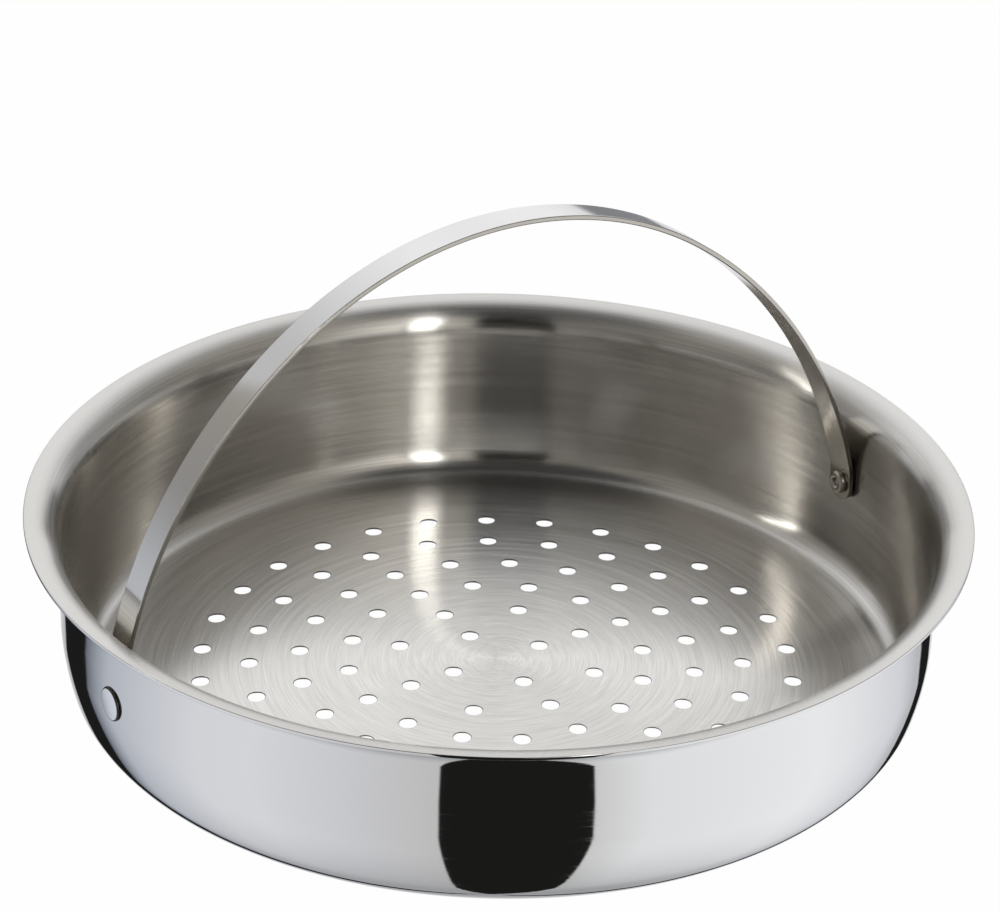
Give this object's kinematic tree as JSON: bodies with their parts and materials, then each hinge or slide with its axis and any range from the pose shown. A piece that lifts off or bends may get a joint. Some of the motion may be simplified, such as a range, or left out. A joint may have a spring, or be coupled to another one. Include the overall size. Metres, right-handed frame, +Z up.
{
  "type": "steamer insert",
  "caption": "Perforated steel steamer basket for a pressure cooker, with a flared rim, a crowned base and a riveted strap bail that folds down inside.",
  "frame": {"origin": "middle of the foot ring's underside, on the surface that the basket stands on", "axes": "+Z up, +X along the bail's pivot axis, +Y the way the standing bail leans"},
  "size_m": [0.22, 0.22, 0.1167],
  "materials": {
    "basket_steel": "satin brushed inside, polished outside",
    "bail_steel": "polished faces, ground edges",
    "rivet_steel": "polished"
  },
  "bodies": {
    "basket_body": {"basket": "basket_steel", "rivet_left": "rivet_steel", "rivet_right": "rivet_steel"},
    "bail_body": {"bail_handle": "bail_steel"}
  },
  "joints": [
    {"name": "bail_swing", "type": "hinge", "parent": "basket_body", "child": "bail_body", "pos_m": [0, 0, 0.0241], "axis": [1, 0, 0], "range_deg": [-98.4, 103.6]}
  ]
}
